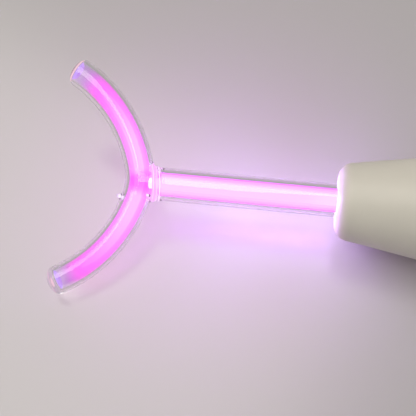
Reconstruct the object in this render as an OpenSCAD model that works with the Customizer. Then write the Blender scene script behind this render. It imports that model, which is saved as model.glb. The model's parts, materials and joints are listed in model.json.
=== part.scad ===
// Violet ray machine: hand-held high-frequency coil with a forked glass electrode.
// Millimetres, +Z up, +X from the fork to the knob, at rest on the flat under the barrel.
// Places along the machine are given as s, the distance behind the nose's front face.

/* [Electrode] */
// outside diameter of the glass stem
stem_d = 11; // [9:0.1:13]
// glass thickness of the stem
stem_wall = 1.5; // [1:0.1:2.5]
// from the nose's front face to the middle of the fork tube
stem_reach = 65.4; // [45:0.1:100]
// outside diameter of the fork tube
arm_d = 9.8; // [8:0.1:11]
// glass thickness of the fork tube
arm_wall = 1.35; // [1:0.05:2]
// radius of the tight bend at the weld, to the middle of the tube
bend_r = 20; // [14:0.1:30]
// angle of the tight bend to each side of the weld
bend_angle = 15.3; // [10:0.1:25]
// radius of each arm, to the middle of the tube
arm_r = 48.6; // [35:0.1:70]
// angle that each arm sweeps, up to its domed tip
arm_angle = 46; // [30:0.5:60]
// how much longer the arm on the pip's side is
arm_more = 1.9; // [0:0.1:4]
// turn of the fork about the machine's axis as it lies
fork_roll = 22; // [0:1:24]
// radius of the domed tip
tip_crown_r = 7.5; // [6:0.1:12]
// solid glass at each tip
tip_plug = 3.3; // [1.5:0.1:6]
// outside diameter of the weld collar
weld_d = 12.4; // [11.5:0.1:14]
// length of the weld collar along the stem
weld_len = 3.4; // [2.4:0.1:5]
// diameter of the opening through the weld
weld_bore_d = 4.4; // [2:0.1:6]
// diameter of the tip-off pip
pip_d = 2.2; // [1.5:0.1:3]
// how far the pip stands out of the fork tube
pip_len = 1.1; // [0.6:0.1:3]
// angle of the pip from the weld, about the middle of the tight bend
pip_angle = 21; // [0:0.5:22]
// how far the weld collar reaches behind the fork tube
weld_reach = 2; // [1:0.1:3]

/* [Electrode cap and socket] */
// how far the metal cap reaches behind the nose's front face
plug_depth = 38; // [30:0.5:44]
// length of the metal cap
cap_len = 22; // [15:0.5:24]
// metal thickness of the cap
cap_wall = 0.45; // [0.3:0.05:1]
// thickness of the socket sleeve
socket_wall = 0.9; // [0.6:0.05:1.5]
// thickness of the socket's closed end
socket_base_t = 2; // [1:0.1:3]
// width of the collar at the socket's closed end
socket_flange_w = 1.6; // [1:0.1:2.5]
// width of each slot in the socket sleeve
socket_slot_w = 1.2; // [0.6:0.1:2]
// length of the lip in front of the socket sleeve
bush_lip_len = 6; // [3:0.5:10]
// thickness of the bush wall
bush_wall = 2.8; // [2:0.1:3.5]
// wire diameter of the contact spring
spring_wire_d = 0.9; // [0.6:0.1:1.2]
// coil diameter of the contact spring, to the middle of the wire
spring_coil_d = 6; // [5:0.1:7]
// turns of the contact spring
spring_turns = 6; // [4:1:8]

/* [Nose] */
// diameter that the cone runs out to at the front face
nose_front_d = 24.3; // [23.5:0.1:30]
// diameter at the rear edge
nose_rear_d = 40.4; // [38:0.1:48]
// length of the visible cone
nose_len = 49; // [45:0.5:70]
// rounding of the front edge
nose_round = 5; // [2:0.1:5.5]
// thickness of the shell
nose_wall = 3; // [2:0.1:3.5]
// thickness of the front wall
nose_face_t = 4; // [3:0.1:6]
// gap round the stem where it enters the nose
nose_hole_gap = 0.5; // [0.4:0.05:1]

/* [Barrel and rear cap] */
// how far the barrel stands out past the nose and the rear cap
barrel_step = 0.8; // [0.4:0.1:2]
// thickness of the barrel wall
barrel_wall = 2.6; // [2:0.1:4]
// how far the rest flat lies inside the barrel's round
flat_depth = 0.7; // [0.3:0.05:0.75]
// rounding of the barrel's ends
barrel_round = 1.2; // [0.5:0.1:2]
// depth of the two grooves at each end of the barrel
groove_depth = 0.6; // [0.3:0.1:1]
// width of each groove
groove_w = 1.4; // [0.8:0.1:3]
// length of the spigots inside the barrel
spigot_len = 6; // [5:0.5:10]
// thickness of the spigots
spigot_wall = 2.4; // [1.5:0.1:3]
// length of the rear cap behind the barrel
cap_body_len = 18; // [16:0.5:30]
// thickness of the rear wall
rear_wall_t = 3.5; // [3:0.1:5]
// width of the index mark above the knob
index_w = 0.8; // [0.4:0.1:1.5]
// length of the index mark
index_len = 2.4; // [1.5:0.1:4]
// depth of the index mark
index_depth = 0.5; // [0.3:0.1:1]
// rounding of the rear cap's edge
rear_round = 3; // [1:0.1:3.2]

/* [Knob] */
// height of the knob's axis above the machine's axis
spindle_rise = 3.5; // [3:0.1:4]
// diameter of the knob's skirt
skirt_d = 17; // [15:0.1:19]
// thickness of the knob's skirt
skirt_t = 3.5; // [2.5:0.1:6]
// diameter of the fluted grip
grip_d = 13.6; // [12:0.1:15]
// length of the fluted grip
grip_len = 11; // [9:0.5:16]
// number of flutes
flute_count = 18; // [10:1:20]
// diameter of each flute
flute_d = 1.6; // [1:0.1:2]
// diameter of the brass insert
insert_d = 8.6; // [8:0.1:9]
// diameter of the insert's neck
insert_neck_d = 7; // [6.2:0.1:7.4]
// gap between the knob and the rear cap
knob_gap = 0.8; // [0.5:0.1:1.5]
// thickness of the knob over its insert
knob_top_t = 2.4; // [1.5:0.1:4]
// rounding of the knob's edges
knob_edge = 0.6; // [0.4:0.1:0.8]

/* [Cord gland] */
// how far the gland sits below the machine's axis
gland_drop = 10.4; // [9.4:0.1:11.4]
// diameter of the cord's hole
gland_bore_d = 5.2; // [4:0.1:6]
// thickness of the gland's wall
gland_wall = 0.7; // [0.5:0.1:1]
// width of the gland's lips
gland_lip_w = 0.7; // [0.4:0.1:1]
// length of each lip
gland_lip_t = 2.2; // [1.5:0.1:3]

/* [Tie rods] */
// distance of the rods from the machine's axis
rod_pitch_r = 14.2; // [12.8:0.1:15.9]
// diameter of the rods
rod_d = 3; // [2:0.1:3.2]
// diameter of the rod heads
rod_head_d = 5.2; // [4.5:0.1:5.4]
// height of the rod heads
rod_head_t = 2.2; // [1.6:0.1:2.4]
// width of the slot in each rod head
rod_slot_w = 0.8; // [0.5:0.1:1.2]
// depth of the slot in each rod head
rod_slot_depth = 1; // [0.6:0.1:1.4]
// diameter of the bosses round the rods
boss_d = 6.4; // [5.8:0.1:6.4]
// thickness of the web from each boss to the shell
boss_web = 3; // [2:0.1:5]
// diameter of the insert nuts in the nose
nut_d = 4.6; // [4:0.1:5]
// length of the insert nuts
nut_len = 9; // [6:0.5:11]
// length of the bosses in front of the nose's rear edge
boss_len = 8; // [6:0.5:12]

/* [Resonator] */
// thickness of the front and middle bulkheads
bulkhead_t = 3.5; // [2.5:0.1:6]
// length of the coil between the bulkheads
coil_len = 59; // [40:1:90]
// outside diameter of the coil former
former_d = 12; // [10:0.1:14]
// thickness of the coil former
former_wall = 1.5; // [1:0.1:2]
// thickness of the secondary winding
secondary_t = 1.8; // [1:0.1:2.2]
// bare former at each end of the secondary winding
secondary_margin = 3; // [1:0.5:8]
// thickness of the insulating sleeve
sleeve_t = 1.1; // [0.6:0.1:1.3]
// thickness of the primary winding
primary_t = 1.7; // [1:0.1:2.1]
// length of the primary winding
primary_len = 24; // [12:1:34]
// thickness of the output stud's collar
stud_flange_t = 2; // [1:0.1:4]
// length of the output stud inside the former
stud_plug_len = 8; // [4:0.5:15]
// length of the output stud's pin inside the spring
stud_pin_len = 6; // [3:0.5:8]

/* [Condenser] */
// length of the condenser
condenser_len = 24; // [15:0.5:50]
// width of the condenser
condenser_w = 16; // [12:0.5:18]
// height of the condenser
condenser_h = 15; // [12:0.5:17]
// thickness of the felt pad
pad_t = 1; // [0.5:0.1:3]

/* [Interrupter] */
// thickness of the yoke
yoke_t = 3; // [2:0.1:3.2]
// width of the yoke's upright
yoke_w = 14; // [11:0.5:16]
// width of the yoke's base
base_w = 10; // [9:0.5:12]
// depth of the base's lower face below the machine's axis
base_drop = 15.5; // [15.2:0.1:16]
// diameter of the magnet core
core_d = 8; // [6:0.1:9]
// length of the magnet bobbin
bobbin_len = 20; // [14:0.5:36]
// diameter of the bobbin's flanges
bobbin_d = 17.4; // [14:0.1:19]
// thickness of the bobbin's flanges
bobbin_flange_t = 1.5; // [1:0.1:3]
// how far the core stands out of the bobbin
pole_len = 3; // [2.8:0.1:5]
// gap between the core and the armature
armature_gap = 0.9; // [0.85:0.05:1.5]
// thickness of the armature plate
armature_t = 2; // [1:0.1:3]
// width and height of the armature plate
armature_w = 10; // [7:0.1:10]
// thickness of the spring leaf
reed_t = 0.4; // [0.2:0.05:0.6]
// width of the spring leaf
reed_w = 8; // [6:0.1:8.5]
// height of the reed post above the yoke's base
post_h = 5.5; // [5:0.1:6.5]
// thickness of the reed post
post_t = 2.9; // [2:0.1:3]
// thickness of the reed clamp
clamp_t = 1; // [0.6:0.1:1.5]
// diameter of the reed screws
reed_screw_d = 1.6; // [1.2:0.1:2]
// diameter of the contacts
contact_d = 3; // [2:0.1:3.6]
// thickness of the moving contact
contact_t = 1; // [0.6:0.1:1.2]
// gap between the contacts as drawn
contact_gap = 0.6; // [0.5:0.05:1]
// length of the fixed contact
fixed_contact_t = 1.2; // [0.8:0.1:2]
// free spindle between the fixed contact and the nut
spindle_free = 2.2; // [1.8:0.1:5]
// diameter of the adjusting spindle
spindle_d = 4; // [3:0.1:4.2]
// diameter of the spindle nut's collar
spindle_nut_d = 11; // [9:0.1:11]
// thickness of the spindle nut's collar
spindle_nut_t = 2; // [1:0.1:3]
// thickness of the rear bulkhead
rear_bulkhead_t = 4; // [3:0.1:6]
// width of the terminal block
terminal_w = 10; // [9:0.1:12]
// height of the terminal block
terminal_h = 6; // [5:0.1:6.5]
// length of the terminal block
terminal_len = 8; // [6:0.1:9]

/* [Hidden] */

$fn = 64;
// radial gap of a running or sliding fit
fit = 0.1;
// gap between pieces of different bodies that must not touch
clear = 0.3;
// gap round a fixed piece in its seat
seat = 0.1;
// overrun of a cut past a face
over = 1;
// how deep a joined shape sinks into its neighbour
sink = 0.5;
// how far one stretch of tube starts inside the next, and how much wider the next is
lap = 1;
tube_step = 0.05;
rod_angles = [45, 135, 225, 315];
// where the grooves start, in groove widths from the barrel's ends
groove_starts = [3, 6];

// glass base and cap
cap_step = 0.1;
cap_r = stem_d / 2 + cap_step;
neck_r = cap_r - cap_wall - seat;
cap_s0 = plug_depth - cap_len;
cap_base_t = 1.2;
neck_lead = 1;
neck_s0 = cap_s0 - neck_lead;
neck_s1 = plug_depth - cap_base_t - seat;
base_plug = 4;

// socket, bush and spring
socket_r0 = cap_r + fit;
socket_r1 = socket_r0 + socket_wall;
bush_r0 = socket_r1 + fit;
bush_r1 = bush_r0 + bush_wall;
bush_s0 = nose_face_t;
socket_s0 = bush_s0 + bush_lip_len + clear;
socket_base_s = plug_depth + clear;
socket_s1 = socket_base_s + socket_base_t;
bush_s1 = socket_base_s - clear;
bush_stand_out = 2;
slot_share = 0.6;
slot_len = (socket_base_s - socket_s0) * slot_share;

// nose
hole_r = stem_d / 2 + nose_hole_gap;
nose_r0 = nose_front_d / 2;
nose_r1 = nose_rear_d / 2;
nose_slope = (nose_r1 - nose_r0) / nose_len;
nose_angle = atan(nose_slope);
nose_round_r = nose_r0 + nose_slope * nose_round - nose_round / cos(nose_angle);
bush_tube_wall = 2;
bush_tube_r = bush_r1 + seat + bush_tube_wall;
stack_s0 = nose_len + spigot_len;
boss_s0 = nose_len - boss_len;
boss_s1 = stack_s0 - sink;

// barrel section
barrel_r = nose_r1 + barrel_step;
bore_r = barrel_r - barrel_wall;
disc_gap = 0.2;
disc_r = bore_r - disc_gap;
axis_h = barrel_r - flat_depth;
spigot_r0 = disc_r - spigot_wall;

// row of inner parts, front to back
front_s1 = stack_s0 + bulkhead_t;
middle_s0 = front_s1 + coil_len;
middle_s1 = middle_s0 + bulkhead_t;
pad_s0 = middle_s1 + condenser_len;
yoke_s0 = pad_s0 + pad_t;
bobbin_s0 = yoke_s0 + yoke_t;
bobbin_s1 = bobbin_s0 + bobbin_len;
pole_s = bobbin_s1 + pole_len;
armature_s0 = pole_s + armature_gap;
reed_s0 = armature_s0 + armature_t;
reed_s1 = reed_s0 + reed_t;
moving_s1 = reed_s1 + contact_t;
fixed_s0 = moving_s1 + contact_gap;
spindle_s0 = fixed_s0 + fixed_contact_t;
nut_s0 = spindle_s0 + spindle_free;
rear_s0 = nut_s0 + spindle_nut_t;
rear_s1 = rear_s0 + rear_bulkhead_t;
barrel_s1 = rear_s1 + spigot_len;
rear_face_s = barrel_s1 + cap_body_len;
wall_s = rear_face_s - rear_wall_t;

// coil radii
former_r0 = former_d / 2 - former_wall;
secondary_r0 = former_d / 2 + seat;
secondary_r1 = secondary_r0 + secondary_t;
sleeve_r0 = secondary_r1 + seat;
sleeve_r1 = sleeve_r0 + sleeve_t;
primary_r0 = sleeve_r1 + seat;
primary_r1 = primary_r0 + primary_t;

// interrupter heights above the machine's axis
base_top = yoke_t - base_drop;
post_top = base_top + post_h;
reed_screw_z = base_top + post_h / 2;
reed_foot = base_top + clear;
reed_top = spindle_rise + armature_w / 2;
reed_play = 0.18;
clamp_s0 = reed_s1 + reed_play;
clamp_s1 = clamp_s0 + clamp_t;
post_s1 = reed_s0 - reed_play;
reed_screw_y = 2;
reed_head_lip = 0.7;
reed_head_r = reed_screw_d / 2 + reed_head_lip;

// knob
knob_s0 = rear_face_s + knob_gap;
skirt_s1 = knob_s0 + skirt_t;
knob_s1 = skirt_s1 + grip_len;
insert_tail = 1.6;
insert_s0 = wall_s - insert_tail;
insert_shoulder = 1.6;
insert_step_s = knob_s0 + insert_shoulder;
insert_s1 = knob_s1 - knob_top_t;
spindle_room = 1.6;
spindle_s1 = insert_s1 - spindle_room;
round_s1 = rear_s1 + spigot_len;
clip_t = 0.7;
clip_bite = 0.6;
clip_lip = 1.6;
clip_s0 = wall_s - clear - clip_t;
clip_r0 = insert_neck_d / 2 - clip_bite;
clip_r1 = insert_neck_d / 2 + clip_lip;
hex_r = spindle_d / 2;
hex_fit = 0.25;

// cord gland
gland_r0 = gland_bore_d / 2;
gland_r1 = gland_r0 + gland_wall;
gland_lip_r = gland_r1 + gland_lip_w;

// head of each tie rod, sunk in the rear cap
rod_head_s = rear_face_s - rod_head_t - clear;

// magnet spool and spindle nut
spool_wall = 1;
spool_r = core_d / 2 + seat + spool_wall;
nut_wall = 2;
nut_body_r = spindle_d / 2 + nut_wall;
yoke_rim = 2;
lead_hole_r = 1.5;
lead_share = 0.6;

// terminal block, under the spindle nut
terminal_screw_r = 1.6;
terminal_gap = 2.4;
terminal_top = spindle_rise - spindle_nut_d / 2 - terminal_gap;

// fork: places in its own plane, x across the machine and y forward from the weld
arm_centre = [(bend_r - arm_r) * sin(bend_angle), bend_r - (bend_r - arm_r) * cos(bend_angle)];
more_angle = arm_more / arm_r * 180 / PI;
tip_angle = bend_angle + arm_angle;
tip_base = arm_centre + arm_r * [sin(tip_angle), -cos(tip_angle)];
long_angle = tip_angle + more_angle;
long_along = [cos(long_angle), sin(long_angle)];
long_base = arm_centre + arm_r * [sin(long_angle), -cos(long_angle)];
crown_drop = tip_crown_r - sqrt(tip_crown_r * tip_crown_r - arm_d * arm_d / 4);
long_centre = long_base + (crown_drop - tip_crown_r) * long_along;
bore_angle = arm_angle - (tip_plug - crown_drop) / arm_r * 180 / PI;
front_s = -stem_reach - long_centre[1] - tip_crown_r;

// middle of the whole length lies at x = 0
x_shift = -(front_s + knob_s1) / 2;

// points on a round stretch from angle a0 to a1
function arc(c, r, a0, a1, n) =
    [for (i = [0:n]) let (a = a0 + (a1 - a0) * i / n) [c[0] + r * cos(a), c[1] + r * sin(a)]];

// puts local z on the machine's axis, running to the rear from s, with local x pointing down
module on_axis(s = 0) {
    translate([x_shift + s, 0, axis_h]) rotate([0, 90, 0]) children();
}

// the same on the knob's axis
module on_spindle(s = 0) {
    translate([0, 0, spindle_rise]) on_axis(s) children();
}

// a round bar on the machine's axis
module bar(s0, s1, r) {
    on_axis(s0) cylinder(h = s1 - s0, r = r);
}

// a round bar on the knob's axis
module knob_bar(s0, s1, r) {
    on_spindle(s0) cylinder(h = s1 - s0, r = r);
}

// a tube on the machine's axis
module tube(s0, s1, r0, r1) {
    difference() {
        bar(s0, s1, r1);
        bar(s0 - over, s1 + over, r0);
    }
}

// a tube on the knob's axis
module knob_tube(s0, s1, r0, r1) {
    difference() {
        knob_bar(s0, s1, r1);
        knob_bar(s0 - over, s1 + over, r0);
    }
}

// a box from s0 to s1, of width w across, from height z0 to z1 above the machine's axis
module block(s0, s1, w, z0, z1) {
    translate([x_shift + s0, -w / 2, axis_h + z0]) cube([s1 - s0, w, z1 - z0]);
}

// four round bars on the rod circle
module at_rods(s0, s1, r) {
    on_axis(s0) for (a = rod_angles) rotate(a) translate([rod_pitch_r, 0, 0])
        cylinder(h = s1 - s0, r = r);
}

// bosses round the rods, webbed to the shell and kept inside the spigots
module bosses(s0, s1) {
    intersection() {
        union() {
            at_rods(s0, s1, boss_d / 2);
            on_axis(s0) for (a = rod_angles) rotate(a) translate([rod_pitch_r, -boss_web / 2, 0])
                cube([disc_r - rod_pitch_r, boss_web, s1 - s0]);
        }
        bar(s0 - over, s1 + over, disc_r - sink);
    }
}

// the fork's own plane: x across, y forward from the weld
module in_fork() {
    translate([x_shift - stem_reach, 0, axis_h])
        rotate([fork_roll, 0, 0]) rotate([0, 0, 90]) children();
}

// the fork's tube, solid, of radius r in its arms and a hair more in the bend that they start inside
module fork_tube(r, end_angle) {
    lap_angle = lap / arm_r * 180 / PI;
    translate([0, bend_r, 0]) rotate([0, 0, -90 - bend_angle])
        rotate_extrude(angle = 2 * bend_angle) translate([bend_r, 0]) circle(r = r + tube_step);
    translate([arm_centre[0], arm_centre[1], 0]) rotate([0, 0, -90 + bend_angle - lap_angle])
        rotate_extrude(angle = end_angle + lap_angle) translate([arm_r, 0]) circle(r = r);
    translate([-arm_centre[0], arm_centre[1], 0]) rotate([0, 0, -90 - bend_angle - end_angle - more_angle])
        rotate_extrude(angle = end_angle + more_angle + lap_angle) translate([arm_r, 0]) circle(r = r);
}

// the tip-off pip, on the inside of the tight bend
module fork_pip() {
    pip_r = pip_d / 2;
    foot = arm_wall / 2;
    shoulder = [0.8, 0.7];
    crown = 0.4;
    profile = [[0, 0], [pip_r, 0], [pip_r * shoulder[0], foot + pip_len * shoulder[1]],
        [pip_r * crown, foot + pip_len], [0, foot + pip_len]];
    translate([0, bend_r, 0]) rotate([0, 0, -90 - pip_angle])
        translate([bend_r - arm_d / 2 + foot, 0, 0])
            rotate([0, -90, 0]) rotate_extrude() polygon(profile);
}

module glass_electrode() {
    collar_s1 = -stem_reach + arm_d / 2 + weld_reach;
    collar_s0 = collar_s1 - weld_len;
    bead_r = weld_len / 4;
    root_r = arm_d / 2 - sink;
    bead_c = weld_d / 2 - bead_r;
    stem = concat(
        [[0, -stem_reach], [root_r, -stem_reach], [root_r, collar_s0]],
        arc([bead_c, collar_s0 + bead_r], bead_r, -80, 60, 5),
        arc([bead_c, collar_s1 - bead_r], bead_r, -60, 30, 4),
        [[stem_d / 2, collar_s1], [stem_d / 2, neck_s0], [neck_r, neck_s0],
        [neck_r, neck_s1], [0, neck_s1]]);
    crown_edge = asin(arm_d / 2 / tip_crown_r);
    crown_share = 0.8;
    crown_r = arm_d / 2 - tube_step;
    crown = concat([[0, -lap], [crown_r, -lap], [crown_r, 0]],
        arc([0, crown_drop - tip_crown_r], tip_crown_r, 90 - crown_edge * crown_share, 90, 4));
    stem_bore_r = stem_d / 2 - stem_wall;
    bore = [[0, -stem_reach], [weld_bore_d / 2, -stem_reach], [weld_bore_d / 2, collar_s1],
        [stem_bore_r, collar_s1 + over], [stem_bore_r, neck_s1 - base_plug], [0, neck_s1 - base_plug]];
    color([0.85, 0.75, 0.95]) difference() {
        union() {
            in_fork() {
                fork_tube(arm_d / 2, arm_angle);
                translate([tip_base[0], tip_base[1], 0]) rotate([0, 90, tip_angle])
                    rotate_extrude() polygon(crown);
                translate([-long_base[0], long_base[1], 0]) rotate([0, 90, 180 - long_angle])
                    rotate_extrude() polygon(crown);
                fork_pip();
            }
            on_axis() rotate_extrude() polygon(stem);
        }
        union() {
            in_fork() fork_tube(arm_d / 2 - arm_wall, bore_angle);
            on_axis() rotate_extrude() polygon(bore);
        }
    }
}

module electrode_cap() {
    color([0.75, 0.74, 0.7]) difference() {
        bar(cap_s0, plug_depth, cap_r);
        bar(cap_s0 - over, plug_depth - cap_base_t, cap_r - cap_wall);
    }
}

module socket_sleeve() {
    color([0.8, 0.65, 0.3]) difference() {
        union() {
            bar(socket_s0, socket_s1, socket_r1);
            bar(socket_base_s, socket_s1, socket_r1 + socket_flange_w);
        }
        bar(socket_s0 - over, socket_base_s, socket_r0);
        on_axis(socket_s0) for (a = [0, 90]) rotate(a)
            translate([-socket_r1 - over, -socket_slot_w / 2, -over])
                cube([2 * (socket_r1 + over), socket_slot_w, slot_len + over]);
    }
}

module socket_bush() {
    color([0.85, 0.8, 0.7]) difference() {
        bar(bush_s0, bush_s1, bush_r1);
        bar(bush_s0 - over, bush_s1, hole_r);
        bar(bush_s0 + bush_lip_len, bush_s1 + over, bush_r0);
    }
}

module contact_spring() {
    wire_r = spring_wire_d / 2;
    coil_r = spring_coil_d / 2;
    s0 = socket_s1 + clear + wire_r;
    s1 = stack_s0 - stud_flange_t - seat - wire_r;
    sides = 6;
    steps_per_turn = 16;
    steps = spring_turns * steps_per_turn;
    tilt = atan((s1 - s0) / spring_turns / (2 * PI * coil_r));
    points = [for (i = [0:steps]) let (turn = i / steps * spring_turns * 360)
        for (j = [0:sides - 1]) let (
            across = coil_r + wire_r * cos(j * 360 / sides),
            up = wire_r * sin(j * 360 / sides)) [
                across * cos(turn) + up * sin(tilt) * sin(turn),
                across * sin(turn) - up * sin(tilt) * cos(turn),
                (s1 - s0) * i / steps + up * cos(tilt)]];
    skin = [for (i = [0:steps - 1]) for (j = [0:sides - 1]) let (k = (j + 1) % sides)
        [i * sides + j, (i + 1) * sides + j, (i + 1) * sides + k, i * sides + k]];
    first = [for (j = [0:sides - 1]) j];
    last = [for (j = [sides - 1:-1:0]) steps * sides + j];
    color([0.7, 0.7, 0.72]) on_axis(s0) polyhedron(points, concat(skin, [first, last]));
}

module output_stud() {
    stud_s = stack_s0 - stud_flange_t;
    color([0.8, 0.65, 0.3]) union() {
        bar(stud_s - stud_pin_len, stud_s + sink, spring_coil_d / 2 - spring_wire_d / 2 - clear);
        bar(stud_s, stack_s0, former_d / 2 - sink);
        bar(stack_s0 - sink, stack_s0 + stud_plug_len, former_r0 - seat);
    }
}

module nose_cone() {
    inner_cone = function (r) (r + nose_wall - nose_r0) / nose_slope;
    tube_s1 = bush_s1 - bush_stand_out;
    seat_r = bush_r1 + seat;
    profile = concat(
        [[hole_r, nose_face_t], [hole_r, 0]],
        arc([nose_round_r, nose_round], nose_round, -90, -nose_angle, 12),
        [[nose_r1, nose_len], [disc_r, nose_len], [disc_r, stack_s0], [spigot_r0, stack_s0],
        [spigot_r0, inner_cone(spigot_r0)], [bush_tube_r, inner_cone(bush_tube_r)],
        [bush_tube_r, tube_s1], [seat_r, tube_s1], [seat_r, nose_face_t]]);
    color([0.88, 0.85, 0.76]) difference() {
        union() {
            on_axis() rotate_extrude() polygon(profile);
            bosses(boss_s0, boss_s1);
        }
        at_rods(boss_s1 - nut_len, stack_s0 + over, nut_d / 2 + seat);
    }
}

module barrel() {
    groove_start = groove_w * groove_starts;
    groove = function (s) [[barrel_r, s], [barrel_r - groove_depth, s],
        [barrel_r - groove_depth, s + groove_w], [barrel_r, s + groove_w]];
    profile = concat(
        [[bore_r, barrel_s1], [bore_r, nose_len]],
        arc([barrel_r - barrel_round, nose_len + barrel_round], barrel_round, -90, 0, 6),
        groove(nose_len + groove_start[0]),
        groove(nose_len + groove_start[1]),
        groove(barrel_s1 - groove_start[1] - groove_w),
        groove(barrel_s1 - groove_start[0] - groove_w),
        arc([barrel_r - barrel_round, barrel_s1 - barrel_round], barrel_round, 0, 90, 6));
    color([0.88, 0.85, 0.76]) difference() {
        on_axis() rotate_extrude() polygon(profile);
        block(nose_len - over, barrel_s1 + over, 2 * barrel_r, -barrel_r - over, -axis_h);
    }
}

module rear_cap() {
    index_z = spindle_rise + skirt_d / 2 + sink;
    profile = concat(
        [[0, wall_s], [spigot_r0, wall_s], [spigot_r0, rear_s1], [disc_r, rear_s1],
        [disc_r, barrel_s1], [nose_r1, barrel_s1]],
        arc([nose_r1 - rear_round, rear_face_s - rear_round], rear_round, 0, 90, 8),
        [[0, rear_face_s]]);
    color([0.88, 0.85, 0.76]) difference() {
        union() {
            on_axis() rotate_extrude() polygon(profile);
            bosses(rear_s1 + sink, wall_s + sink);
        }
        at_rods(rear_s1 - over, rear_face_s + over, rod_d / 2 + clear);
        at_rods(rod_head_s, rear_face_s + over, rod_head_d / 2 + clear);
        knob_bar(wall_s - over, rear_face_s + over, insert_neck_d / 2 + fit);
        on_axis(wall_s - over) translate([gland_drop, 0, 0])
            cylinder(h = rear_wall_t + 2 * over, r = gland_r1 + seat);
        block(rear_face_s - index_depth, rear_face_s + over, index_w, index_z, index_z + index_len);
    }
}

module tie_rods() {
    color([0.72, 0.72, 0.7]) difference() {
        union() {
            at_rods(boss_s1 - nut_len + over, rod_head_s + sink, rod_d / 2);
            at_rods(rod_head_s, rod_head_s + rod_head_t, rod_head_d / 2);
        }
        on_axis(rod_head_s + rod_head_t - rod_slot_depth) for (a = rod_angles) rotate(a)
            translate([rod_pitch_r - rod_head_d, -rod_slot_w / 2, 0])
                cube([2 * rod_head_d, rod_slot_w, rod_slot_depth + over]);
    }
}

module insert_nuts() {
    color([0.8, 0.65, 0.3]) difference() {
        at_rods(boss_s1 - nut_len, boss_s1, nut_d / 2);
        at_rods(boss_s1 - nut_len - over, boss_s1 + over, rod_d / 2 + fit);
    }
}

// a fibre disc across the barrel, holed for the rods
module disc(s0, s1) {
    difference() {
        bar(s0, s1, disc_r);
        at_rods(s0 - over, s1 + over, rod_d / 2 + clear);
    }
}

module coil_disc(s0) {
    color([0.35, 0.2, 0.14]) difference() {
        disc(s0, s0 + bulkhead_t);
        bar(s0 - over, s0 + bulkhead_t + over, former_d / 2 + seat);
    }
}

module front_bulkhead() coil_disc(stack_s0);

module middle_bulkhead() coil_disc(middle_s0);

module rear_bulkhead() {
    color([0.35, 0.2, 0.14]) difference() {
        disc(rear_s0, rear_s1);
        knob_bar(rear_s0 - over, rear_s1 + over, nut_body_r + seat);
        for (side = [-1, 1]) translate([0, side * disc_r * lead_share, 0])
            bar(rear_s0 - over, rear_s1 + over, lead_hole_r);
    }
}

module coil_former() {
    color([0.5, 0.33, 0.2]) tube(stack_s0, middle_s1, former_r0, former_d / 2);
}

module secondary_winding() {
    color([0.65, 0.32, 0.15])
        tube(front_s1 + secondary_margin, middle_s0 - secondary_margin, secondary_r0, secondary_r1);
}

module coil_sleeve() {
    color([0.8, 0.7, 0.45]) tube(front_s1, middle_s0, sleeve_r0, sleeve_r1);
}

module primary_winding() {
    color([0.75, 0.4, 0.2])
        tube(middle_s0 - secondary_margin - primary_len, middle_s0 - secondary_margin,
            primary_r0, primary_r1);
}

module condenser() {
    color([0.75, 0.62, 0.35])
        block(middle_s1, pad_s0, condenser_w, -condenser_h / 2, condenser_h / 2);
}

module condenser_pad() {
    margin = 1;
    color([0.45, 0.45, 0.42])
        block(pad_s0, yoke_s0, condenser_w - margin, margin - condenser_h / 2, condenser_h / 2 - margin);
}

module magnet_yoke() {
    color([0.55, 0.56, 0.58]) difference() {
        union() {
            block(yoke_s0, bobbin_s0, yoke_w, -base_drop, spindle_rise + core_d / 2 + yoke_rim);
            block(bobbin_s0 - sink, rear_s0, base_w, -base_drop, base_top);
        }
        knob_bar(yoke_s0 - over, bobbin_s0 + over, core_d / 2 + seat);
    }
}

module magnet_core() {
    color([0.5, 0.5, 0.52]) knob_bar(yoke_s0, pole_s, core_d / 2);
}

module magnet_bobbin() {
    color([0.3, 0.18, 0.12]) difference() {
        union() {
            knob_bar(bobbin_s0, bobbin_s1, spool_r);
            knob_bar(bobbin_s0, bobbin_s0 + bobbin_flange_t, bobbin_d / 2);
            knob_bar(bobbin_s1 - bobbin_flange_t, bobbin_s1, bobbin_d / 2);
        }
        knob_bar(bobbin_s0 - over, bobbin_s1 + over, core_d / 2 + seat);
    }
}

module magnet_winding() {
    color([0.7, 0.36, 0.16])
        knob_tube(bobbin_s0 + bobbin_flange_t, bobbin_s1 - bobbin_flange_t,
            spool_r + seat, bobbin_d / 2 - sink);
}

// the two places of the reed screws
module at_reed_screws(s0, s1, r) {
    translate([0, 0, reed_screw_z]) for (side = [-1, 1]) translate([0, side * reed_screw_y, 0])
        bar(s0, s1, r);
}

module reed_post() {
    color([0.55, 0.56, 0.58]) difference() {
        block(post_s1 - post_t, post_s1, base_w - over, base_top, post_top);
        at_reed_screws(post_s1 - post_t + sink, post_s1 + over, reed_screw_d / 2 + seat);
    }
}

module reed_clamp() {
    color([0.55, 0.56, 0.58]) difference() {
        block(clamp_s0, clamp_s1, reed_w, reed_foot, post_top);
        at_reed_screws(clamp_s0 - over, clamp_s1 + over, reed_screw_d / 2 + seat);
    }
}

module reed_screws() {
    color([0.8, 0.65, 0.3]) union() {
        at_reed_screws(post_s1 - post_t + sink, clamp_s1 + seat, reed_screw_d / 2);
        at_reed_screws(clamp_s1, clamp_s1 + over, reed_head_r);
    }
}

module reed_spring() {
    color([0.75, 0.65, 0.45]) difference() {
        block(reed_s0, reed_s1, reed_w, reed_foot, reed_top);
        at_reed_screws(reed_s0 - over, reed_s1 + over, reed_screw_d / 2 + clear);
    }
}

module armature_plate() {
    color([0.5, 0.5, 0.52])
        block(armature_s0, reed_s0, armature_w,
            spindle_rise - armature_w / 2, spindle_rise + armature_w / 2);
}

module moving_contact() {
    color([0.75, 0.76, 0.78]) knob_bar(reed_s1, moving_s1, contact_d / 2);
}

module fixed_contact() {
    color([0.75, 0.76, 0.78]) knob_bar(fixed_s0, spindle_s0, contact_d / 2);
}

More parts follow.
